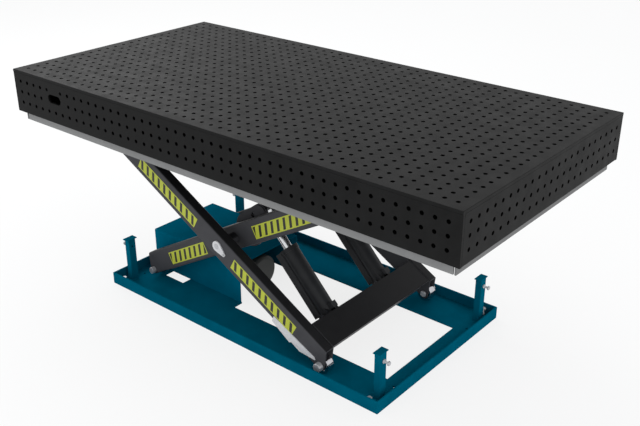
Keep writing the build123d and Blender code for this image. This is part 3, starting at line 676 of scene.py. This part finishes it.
@dataclass
class TableBox:
    """The perforated box: a top plate and four side plates with the whole hole grid."""

    # The strip that closes the slit under the box: its width, its faces' heights and its chamfer.
    strip_width: float = 18 * MM
    strip_heights: tuple[float, float] = (0.1 * MM, 4 * MM)
    strip_edge: float = 0.8 * MM

    def __post_init__(self) -> None:
        """Read the box's size and height from the frame."""
        low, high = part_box("table_top_plate")
        self.half_x, self.half_y = (high.x - low.x) / 2, (high.y - low.y) / 2
        self.top, self.under = high.z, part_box("table_side_front")[0].z

    def plates(self, name: str, node: str, sheets: Sequence[tuple]) -> None:
        """Make one piece of perforated plates, with the marks of the walls as an attribute.

        Args:
            name: The piece's name.
            node: The solid that it stands for.
            sheets: For each plate its sheet, then what placed() takes after the shape.
        """
        shape = join([placed(sheet[:2], *place) for sheet, *place in sheets])
        piece = make_piece(name, shape, NITRIDED, "platform", [node])
        # The marks tell the finish where to paint shade on the walls of the holes and the slot.
        layer = piece.data.attributes.new("in_hole", "FLOAT", "POINT")
        layer.data.foreach_set("value", np.concatenate([sheet[2] for sheet, *_ in sheets]))

    def closing_strip(self) -> None:
        """A dark sheet of painted shade inside the box's lower rim, over the slit between the sides and the
        platform.

        Its section is a flat bar with chamfered edges, drawn round the rectangle: at each of
        the four corners the section's points lie on the corner's diagonal.
        """
        outer, inner, edge = Plate.thick, Plate.thick + self.strip_width, self.strip_edge
        low, high = (self.under + height for height in self.strip_heights)
        section = np.array([(outer, low), (inner - edge, low), (inner, low + edge), (inner, high - edge),
                            (inner - edge, high), (outer, high)])
        signs = np.array([(-1, -1), (1, -1), (1, 1), (-1, 1)])
        flat = signs[:, None, :] * (np.array([self.half_x, self.half_y]) - section[None, :, :1])
        heights = np.broadcast_to(section[None, :, 1:], (len(signs), len(section), 1))
        points, faces = np.concatenate([flat, heights], -1), band(len(signs), len(section), True)
        make_piece("table_closing_strip", (points.reshape(-1, 3), faces.tolist()), SHADE_BLACK, "platform")

    def build(self) -> None:
        """Make the five plates and the closing strip."""
        depth = self.top - self.under
        columns, rows, side_rows = (round(size / Plate.pitch) - 1
                                    for size in (2 * self.half_x, 2 * self.half_y, depth))
        x, y, z = (-self.half_x, self.half_x), (-self.half_y, self.half_y), self.top - depth / 2
        side_y = (-depth / 2, depth / 2 - Plate.thick)
        end_x = (-self.half_y + Plate.thick, self.half_y - Plate.thick)
        top, end = Plate(columns, rows, x, y).build(), Plate(rows, side_rows, end_x, side_y).build()
        front, rear = (Plate(columns, side_rows, x, side_y, slotted).build() for slotted in (True, False))
        self.plates("table_top", "table_top_plate", [(top, (0, 0, self.top), (0, 0, 1))])
        self.plates("table_front", "table_side_front", [(front, (0, -self.half_y, z), (0, -1, 0))])
        self.plates("table_rear_and_ends", "table_sides", [
            (rear, (0, self.half_y, z), (0, 1, 0), (-1, 0, 0)),
            (end, (self.half_x, 0, z), (1, 0, 0), (0, 1, 0)),
            (end, (-self.half_x, 0, z), (-1, 0, 0), (0, -1, 0))])
        self.closing_strip()


# The scissor lift


@dataclass(frozen=True)
class LegFrame:
    """The frame of a pair of legs: s runs along the leg to the right, n square to it, upwards."""

    lean: Lean
    centre: tuple[float, float]
    slope: float

    def at(self, s: float | np.ndarray, n: float | np.ndarray) -> tuple:
        """The X and Z of one point or of arrays of points, turned by the slope about the centre."""
        sine, cosine = self.lean.value * math.sin(self.slope), math.cos(self.slope)
        return self.centre[0] + s * cosine - n * sine, self.centre[1] + s * sine + n * cosine


@dataclass(frozen=True)
class Strip:
    """One length of hazard tape, by its ranges along and square to a pair of legs."""

    name: str
    lean: Lean
    s_mm: tuple[float, float]
    n_mm: tuple[float, float]


@dataclass
class Scissor:
    """The tape on the legs, their pins and axles, and the rollers."""

    frame: dict
    pin_offset: float = 32 * MM
    face_y: tuple[tuple[Lean, float], ...] = ((Lean.OUTER, 406 * MM), (Lean.INNER, 300 * MM))
    tape_lift: float = 0.3 * MM
    tapes: tuple[Strip, ...] = (
        Strip("outer_tape_low", Lean.OUTER, (104, 506), (-31, 23)),
        Strip("outer_tape_high", Lean.OUTER, (-550, -147), (-31, 23)),
        Strip("inner_tape_low", Lean.INNER, (-516, -225), (-35, 25)),
        Strip("inner_tape_high", Lean.INNER, (135, 500), (-35, 25)))
    pin_radius: float = 16 * MM
    axle_radius: float = 15 * MM
    # Radius and length of the lower axles' heads, and of the bosses on the centre pins' keepers.
    axle_head: tuple[float, float] = (20 * MM, 25 * MM)
    boss: tuple[float, float] = (13 * MM, 1.6 * MM)
    edge: float = 2 * MM
    roller_bore: float = 15.05 * MM
    # Where the slope of the dish in a roller's face begins and ends, as shares of its radius.
    dish: tuple[float, float] = (0.62, 0.68)
    dish_depth: float = 3 * MM

    def __post_init__(self) -> None:
        """Work out the legs' frames from the places of the joints."""
        (base_x, _, base_z), (x, _, z) = (joint["pos_m"] for name in ("lift", "scissor")
                                          for joint in self.frame["joints"] if joint["name"] == name)
        reach = math.hypot(x - base_x, z - base_z)
        slope = math.atan2(z - base_z, x - base_x) - math.asin(self.pin_offset / reach)
        self.legs = {lean: LegFrame(lean, (x, z), slope) for lean in Lean}

    def tape(self, name: str, strip: Strip, side: int) -> None:
        """Put one length of tape on a leg's outer face.

        Its four corners lie tape_lift outside the face, with four more on the face under them.
        The UV map gives metres along and across, and an attribute gives the tape's size.

        Args:
            name: The piece's name.
            strip: The tape's place.
            side: The sign of the leg's Y.
        """
        corners = rectangle(np.array(strip.s_mm) * MM, np.array(strip.n_mm) * MM)
        x, z = self.legs[strip.lean].at(*corners.T)
        face = side * dict(self.face_y)[strip.lean]
        points = np.vstack([np.column_stack([x, np.full(4, y), z])
                            for y in (face + side * self.tape_lift, face)])
        order = [0, 1, 2, 3] if side < 0 else [3, 2, 1, 0]
        edges = list(zip(order, order[1:] + order[:1]))
        faces = [order, [k + 4 for k in order[::-1]], *([b, a, a + 4, b + 4] for a, b in edges)]
        mesh = make_piece(name, (points, faces), TAPE, strip.lean.body).data
        numbers = np.zeros(len(mesh.loops), np.int32)
        mesh.loops.foreach_get("vertex_index", numbers)
        local = (corners - corners[0])[numbers % 4]
        mesh.uv_layers.new(name="tape").data.foreach_set("uv", local.astype(np.float32).ravel())
        size = np.tile([*(corners[2] - corners[0]), -strip.lean.value], (8, 1))
        layer = mesh.attributes.new("tape_size", "FLOAT_VECTOR", "POINT")
        layer.data.foreach_set("vector", size.astype(np.float32).ravel())

    def bar_length(self, node: str) -> float:
        """The length of one bar of a mirrored pair, from the Y of the solids' points."""
        y = np.array([v.co.y for v in self.frame["nodes"][node].data.vertices])
        return float(y.max() - y[y > 0].min())

    def pins(self) -> None:
        """The pivot pins, the upper axles and the cylinders' pins, and the bosses at the crossing."""
        # The cylinders' pins were painted over together with their lugs.
        for node, body, radius, finish in (
                ("base_pivot_pins", "base", self.pin_radius, ZINC),
                ("centre_pins", "outer_legs", self.pin_radius, ZINC),
                ("top_pivot_pins", "outer_legs", self.pin_radius, ZINC),
                ("upper_roller_axles", "inner_legs", self.axle_radius, ZINC),
                ("cylinder_pins", "outer_legs", self.axle_radius, LEG_COAT)):
            shape = mirrored_bars(radius, self.bar_length(node), bar_place(node))
            make_piece(node + "_round", shape, finish, body, [node], smooth_deg=40)
        radius, height = self.boss
        x, _, z = bar_place("centre_pins")
        shape = mirrored_bars(radius, 2 * height, (x, bar_place("retaining_plates")[1] + height, z))
        make_piece("centre_pin_bosses", shape, ZINC, "outer_legs", smooth_deg=40)

    def lower_axles(self) -> None:
        """The lower rollers' axles, with chamfered heads outside."""
        x, end, z = bar_place("lower_roller_axles")
        length, radius, edge = self.bar_length("lower_roller_axles"), self.axle_radius, self.edge
        head_radius, head = self.axle_head
        profile = [(0, 0), (radius - edge, 0), (radius, edge), (radius, length - head),
                   (head_radius - edge, length - head), (head_radius, length - head + edge),
                   (head_radius, length - edge), (head_radius - edge, length), (0, length)]
        ends = [placed(lathe(profile), (x, side * (end - length), z), (0, side, 0)) for side in SIDES]
        make_piece("lower_roller_axles_round", join(ends), ZINC, "outer_legs",
                   ["lower_roller_axles"], smooth_deg=40)

    def rollers(self) -> None:
        """Four turned rollers with a dished face, each on its own body."""
        bore, dish, edge = self.roller_bore, self.dish_depth, self.edge
        for level in ("upper", "lower"):
            for word, _ in PAIR:
                node = f"{level}_roller_{word}"
                low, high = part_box(node)
                radius, width = (high.z - low.z) / 2, high.y - low.y
                inner, outer = (radius * share for share in self.dish)
                profile = [(bore, dish), (inner, dish), (outer, 0), (radius - edge, 0), (radius, edge),
                           (radius, width - edge), (radius - edge, width), (outer, width),
                           (inner, width - dish), (bore, width - dish)]
                x, _, z = bar_place(node)
                make_piece(node + "_turned", placed(lathe(profile, 64), (x, low.y, z), (0, 1, 0)),
                           TURNED_STEEL, f"{level}_wheel_{word}", [node], smooth_deg=40)

    def build(self) -> None:
        """Make the tape, pins, axles and rollers."""
        for word, side in PAIR:
            for strip in self.tapes:
                self.tape(f"{strip.name}_{word}", strip, side)
        self.pins()
        self.lower_axles()
        self.rollers()


# The cylinders


@dataclass
class PipeGuards:
    """The bent channels that shield the oil pipes, on the cylinders' lower front sides."""

    frame: dict
    cylinder_y: float = 192 * MM
    barrel_radius: float = 40 * MM
    angle_deg: float = 45.0
    width: float = 28 * MM
    depth: float = 26 * MM
    wall: float = 2.5 * MM
    bend: float = 3 * MM
    # Where a channel begins and ends along the cylinder, from the foot pin.
    reach: tuple[float, float] = (8 * MM, 333 * MM)

    def section(self) -> np.ndarray:
        """The channel's closed outline, anticlockwise, with its outer bends as quarter circles.

        Returns:
            One row per point: its place across the channel, and outward from the cylinder's axis.
        """
        half = self.width / 2
        inner = half - self.wall
        seat = math.sqrt(self.barrel_radius ** 2 - inner ** 2)
        far = seat + self.depth
        turn = np.linspace(0, math.pi / 2, 5)
        right = np.stack([np.cos(turn), np.sin(turn)], -1) * self.bend + (half - self.bend, far - self.bend)
        return np.vstack([(half, seat), right, right[::-1] * (-1, 1), (-half, seat), (-inner, seat),
                          (-inner, far - self.wall), (inner, far - self.wall), (inner, seat)])

    def build(self) -> None:
        """Carry the section along each cylinder's axis and close both ends."""
        joints = {joint["name"]: joint for joint in self.frame["joints"]}
        section = self.section()
        count = len(section)
        turn = math.radians(self.angle_deg)
        across = np.array([0.0, 1.0, 0.0])
        for word, side in PAIR:
            foot = np.array(joints[f"cylinder_foot_{word}"]["pos_m"], float)
            foot[1] = side * self.cylinder_y
            along = np.array(joints[f"rod_slide_{word}"]["axis"], float)
            along /= math.copysign(np.linalg.norm(along), along[2])
            lower = np.cross(along, across)
            lower *= -np.sign(lower[2])
            outward = lower * math.cos(turn) - across * math.sin(turn)
            flat = section[:, :1] * np.cross(outward, along) + section[:, 1:] * outward
            points = np.vstack([foot + flat + along * s for s in self.reach])
            caps = [list(range(count))[::-1], list(range(count, 2 * count))]
            make_piece(f"pipe_guard_{word}_bent", (points, band(2, count).tolist() + caps), BLACK_ENAMEL,
                       f"cylinder_{word}", [f"pipe_guard_{word}"], smooth_deg=30)


# Screws and welds


def thread_profile(radius: float, length: float, pitch: float = 2 * MM, depth: float = 0.7 * MM
                   ) -> list[tuple[float, float]]:
    """The profile of a threaded bar: crests and roots in turn, half a pitch apart, from Z = 0 up.

    Args:
        radius: The crests' radius.
        length: The bar's length.
        pitch: Distance from crest to crest; coarser than the real thread's, so that it shows.
        depth: The roots' depth.

    Returns:
        Pairs of radius and height.
    """
    root = radius - depth
    steps = [(root if k % 2 else radius, (k + 0.5) * pitch / 2) for k in range(int(2 * length / pitch))]
    return [(0, 0), (root, 0), *steps, (root, length), (0, length)]


def hexagon(across: float, height: float, start: float = 0.0, edge: float = 0.8 * MM) -> Shape:
    """A hexagon prism about the Z axis with chamfered rims, as a lathe of six sides."""
    profile = bar_profile(across / math.sqrt(3), height, edge)
    return lathe([(radius, start + rise) for radius, rise in profile], 6)


# The least radius of a weld bead, and the height of its ripples, as shares of its largest radius.
RIPPLES = (0.85, 0.15)


def bead(start: Sequence[float], end: Sequence[float], radius: float = 2.5 * MM,
         ripple: float = 6 * MM) -> Shape:
    """A weld bead from one point to another.

    The radius at length t is r (low + swing |cos(pi t / ripple)|), so the bead shows the
    rounded ripples of a hand weld, and both ends run out to a pole.

    Args:
        start: One end.
        end: The other end.
        radius: The bead's largest radius.
        ripple: The length of one ripple.

    Returns:
        The bead.
    """
    line = np.array(end, float) - np.array(start, float)
    length = float(np.linalg.norm(line))
    along = np.linspace(radius / 2, length - radius / 2, max(4, int(3 * length / ripple)))
    low, swing = RIPPLES
    round_of = radius * (low + swing * np.abs(np.cos(math.pi * along / ripple)))
    profile = [(0, 0), *zip(round_of.tolist(), along.tolist()), (0, length)]
    return placed(lathe(profile, 8), start, line)


@dataclass
class Posts:
    """The four corner posts: the X and Y of their middle, half their section and where they stand."""

    place: tuple[float, float] = (755 * MM, 378 * MM)
    half: tuple[float, float] = (15 * MM, 19 * MM)
    flange: float = 8 * MM


@dataclass
class Fasteners:
    """The base's levelling screws and the screws on the posts, with threads and hexagon heads."""

    posts: Posts
    radius: float = 5 * MM
    # Size across the flats of the nuts and the post screws' heads, and of the levelling screws' heads.
    across: float = 17 * MM
    foot_across: float = 21 * MM
    head_height: float = 8 * MM
    lock_nut: float = 4.8 * MM
    foot_place: tuple[float, float] = (750 * MM, 437 * MM)
    foot_top: float = 34 * MM
    # The post screws' height, and how far they reach out of the post and into it.
    post_z: float = 190 * MM
    post_reach: float = 30 * MM
    post_sunk: float = 6 * MM
    # How far a thread reaches into its head.
    overlap: float = 0.1 * MM

    def build(self) -> None:
        """Make both sets of four screws."""
        screw = join([lathe(thread_profile(self.radius, self.foot_top), 24),
                      hexagon(self.across, self.head_height, self.posts.flange),
                      hexagon(self.foot_across, self.head_height, self.foot_top - self.overlap)])
        x, y = self.foot_place
        feet = [placed(screw, (end * x, side * y, 0), (0, 0, 1)) for end, side in CORNERS]
        make_piece("levelling_bolts", join(feet), ZINC, "base", ["levelling_screws"],
                   smooth_deg=25)
        neck = self.post_reach + self.post_sunk - self.head_height
        screw = join([lathe(thread_profile(self.radius, neck + self.overlap), 24),
                      hexagon(self.across, self.lock_nut, self.post_sunk),
                      hexagon(self.across, self.head_height, neck)])
        start, y = self.posts.place[0] + self.posts.half[0] - self.post_sunk, self.posts.place[1]
        posts = [placed(screw, (end * start, side * y, self.post_z), (end, 0, 0), (0, 1, 0))
                 for end, side in CORNERS]
        make_piece("post_bolts", join(posts), ZINC, "base", ["post_screws"], smooth_deg=25)


@dataclass
class Welds:
    """Beads where the cross-member meets the legs and where the posts stand on the flanges."""

    posts: Posts
    leg: LegFrame
    # Where a leg's bead begins and ends, along the leg.
    cross_s: tuple[float, float] = (537.25 * MM, 668.25 * MM)
    half_height: float = 55 * MM
    leg_inner_face: float = 356 * MM

    def build(self) -> None:
        """Make the beads on the legs, and four round each post."""
        (low_x, low_z), (high_x, high_z) = (self.leg.at(s, self.half_height) for s in self.cross_s)
        seams = [bead((low_x, side * self.leg_inner_face, low_z),
                      (high_x, side * self.leg_inner_face, high_z)) for side in SIDES]
        make_piece("cross_member_welds", join(seams), LEG_COAT, "outer_legs", smooth_deg=60)
        half_x, half_y = self.posts.half
        rim = rectangle(np.array([-half_x, half_x]), np.array([-half_y, half_y]))
        around = []
        for signs in CORNERS:
            corners = at_height(rim + np.array(self.posts.place) * signs, self.posts.flange)
            around += [bead(corners[k], corners[(k + 1) % 4]) for k in range(4)]
        make_piece("post_welds", join(around), TEAL, "base", smooth_deg=60)


# Stage


def seen_rays(tree: Tree) -> Socket:
    """A socket that is 1 for rays from the camera, from reflections and through clear pieces.

    Args:
        tree: The node tree to add to.

    Returns:
        The output socket.
    """
    rays = add(tree, "ShaderNodeLightPath").outputs
    seen = rays["Is Camera Ray"]
    for kind in ("Is Glossy Ray", "Is Transmission Ray"):
        seen = add(tree, "ShaderNodeMath", {0: seen, 1: rays[kind]}, operation="MAXIMUM").outputs[0]
    return seen


def aimed(name: str, data: bpy.types.ID, place: Sequence[float],
          target: Sequence[float]) -> bpy.types.Object:
    """Put a lamp or a camera into the scene.

    Args:
        name: Its name.
        data: The lamp's or camera's data.
        place: Where it stands.
        target: Where it looks.

    Returns:
        The new object.
    """
    made = bpy.data.objects.new(name, data)
    made.location = place
    made.rotation_mode = "QUATERNION"
    made.rotation_quaternion = (Vector(target) - Vector(place)).to_track_quat("-Z", "Y")
    bpy.context.scene.collection.objects.link(made)
    return made


@dataclass(frozen=True)
class Lamp:
    """A square area lamp; its power is in watts."""

    name: str
    place: tuple[float, float, float]
    size: float
    power: float


@dataclass
class Stage:
    """The floor, the lights and the camera."""

    position: tuple[float, float, float] = (2.4325, -2.7581, 2.1968)
    target: tuple[float, float, float] = (0.8719, -0.8863, 1.0430)
    lens_mm: float = 50.24
    sensor_mm: float = 36.0
    floor_half: float = 40.0
    floor_drop: float = 0.2 * MM
    # Share of the floor that is seen as even white, so that shadows stay faint.
    floor_white: float = 0.8
    # Lowest and highest reflectance of its paint, and the size of the paint's clouds.
    floor_tints: tuple[float, float] = (0.93, 0.96)
    floor_patch: float = 1.25
    sky: str = "#F4F6F8"
    sky_strength: float = 0.88
    lamps: tuple[Lamp, ...] = (Lamp("key", (5.5, -2.2, 4.5), 3.5, 65),
                               Lamp("fill", (-4.0, 1.0, 4.5), 4.0, 115))
    middle: tuple[float, float, float] = (0.0, 0.0, 0.5)

    def floor(self) -> None:
        """A pale floor, seen as white where nothing shades it."""
        mesh = bpy.data.meshes.new("floor")
        ends = np.array([-self.floor_half, self.floor_half])
        mesh.from_pydata(at_height(rectangle(ends, ends), -self.floor_drop), [], [(0, 1, 2, 3)])
        material = bpy.data.materials.new("painted_studio_floor")
        material.use_nodes = True
        tree = material.node_tree
        place = add(tree, "ShaderNodeTexCoord").outputs["Object"]
        clouds = add(tree, "ShaderNodeTexNoise", {
            "Vector": place, "Scale": 1 / self.floor_patch, "Detail": 3.0})
        low, high = self.floor_tints
        tint = add(tree, "ShaderNodeMapRange", {
            "Value": clouds.outputs["Fac"], "To Min": low, "To Max": high})
        paint = tree.nodes["Principled BSDF"]
        feed(paint, {"Base Color": tint.outputs["Result"], "Roughness": 0.9, "Specular IOR Level": 0.1})
        white = add(tree, "ShaderNodeEmission", {"Color": (1.0, 1.0, 1.0, 1.0), "Strength": 1.0})
        share = add(tree, "ShaderNodeMath", {0: seen_rays(tree), 1: self.floor_white}, operation="MULTIPLY")
        mix = add(tree, "ShaderNodeMixShader", {
            0: share.outputs[0], 1: paint.outputs[0], 2: white.outputs[0]})
        feed(tree.nodes["Material Output"], {"Surface": mix.outputs[0]})
        mesh.materials.append(material)
        floor = bpy.data.objects.new("floor", mesh)
        bpy.context.scene.collection.objects.link(floor)

    def world(self) -> None:
        """Soft light from all round, and a white backdrop for the camera and for reflections."""
        world = bpy.data.worlds.new("studio")
        bpy.context.scene.world = world
        world.use_nodes = True
        tree = world.node_tree
        sky = tree.nodes["Background"]
        feed(sky, {"Color": linear(self.sky), "Strength": self.sky_strength})
        seen = add(tree, "ShaderNodeBackground", {"Color": (1.0, 1.0, 1.0, 1.0), "Strength": 1.0})
        mix = add(tree, "ShaderNodeMixShader", {0: seen_rays(tree), 1: sky.outputs[0], 2: seen.outputs[0]})
        feed(tree.nodes["World Output"], {"Surface": mix.outputs[0]})

    def build(self) -> None:
        """Make the stage and set the view."""
        self.floor()
        self.world()
        for lamp in self.lamps:
            light = bpy.data.lights.new(lamp.name, "AREA")
            light.shape, light.size, light.energy = "SQUARE", lamp.size, lamp.power
            aimed(lamp.name, light, lamp.place, self.middle)
        camera = bpy.data.cameras.new("camera")
        camera.lens, camera.sensor_width = self.lens_mm, self.sensor_mm
        bpy.context.scene.camera = aimed("camera", camera, self.position, self.target)
        bpy.context.scene.view_settings.view_transform = "Standard"


# The finish of each material slot, for the solids that stay as they are.
DRESS = {
    "teal_paint": TEAL, "cover_paint": LIT_COVER_TEAL, "zinc_plate": ZINC, "bright_plate": BRIGHT_ZINC,
    "leg_paint": LEG_COAT, "cylinder_paint": BLACK_ENAMEL, "hard_chrome": CHROME,
    "tank_plastic": TANK_PLASTIC, "motor_enamel": MOTOR_ENAMEL, "cowl_enamel": COWL_ENAMEL,
    "roller_steel": TURNED_STEEL, "platform_paint": RIM_GREY, "nitrided_steel": NITRIDED,
}
# The nodes that look unlike the rest of their slot: painted shade on the sheet under the table and on the end
# rims.
DRESS_BY_NODE = {"platform_sheet": SHADE_BLACK, "guard_strips": BRIGHT_ZINC, "rim_left": SHADED_END_GREY,
                 "rim_right": SHADED_END_GREY}


def dress(frame: dict) -> None:
    """Give every solid of the frame its finish.

    Args:
        frame: The loaded frame.
    """
    slots = {part["node"]: part["material_slot"] for part in frame["record"]["subparts"]}
    for name, node in frame["nodes"].items():
        finish = DRESS_BY_NODE.get(name, DRESS[slots[name]]).build()
        if not node.material_slots:
            node.data.materials.append(finish)
        for material_slot in node.material_slots:
            material_slot.material = finish


def main() -> None:
    """Build the classes in order."""
    logging.basicConfig(level=logging.INFO, format="%(name)s: %(message)s")
    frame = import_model()
    dress(frame)
    TableBox().build()
    scissor = Scissor(frame)
    scissor.build()
    PipeGuards(frame).build()
    posts = Posts()
    Fasteners(posts).build()
    Welds(posts, scissor.legs[Lean.OUTER]).build()
    Stage().build()


if __name__ == "__main__":
    main()
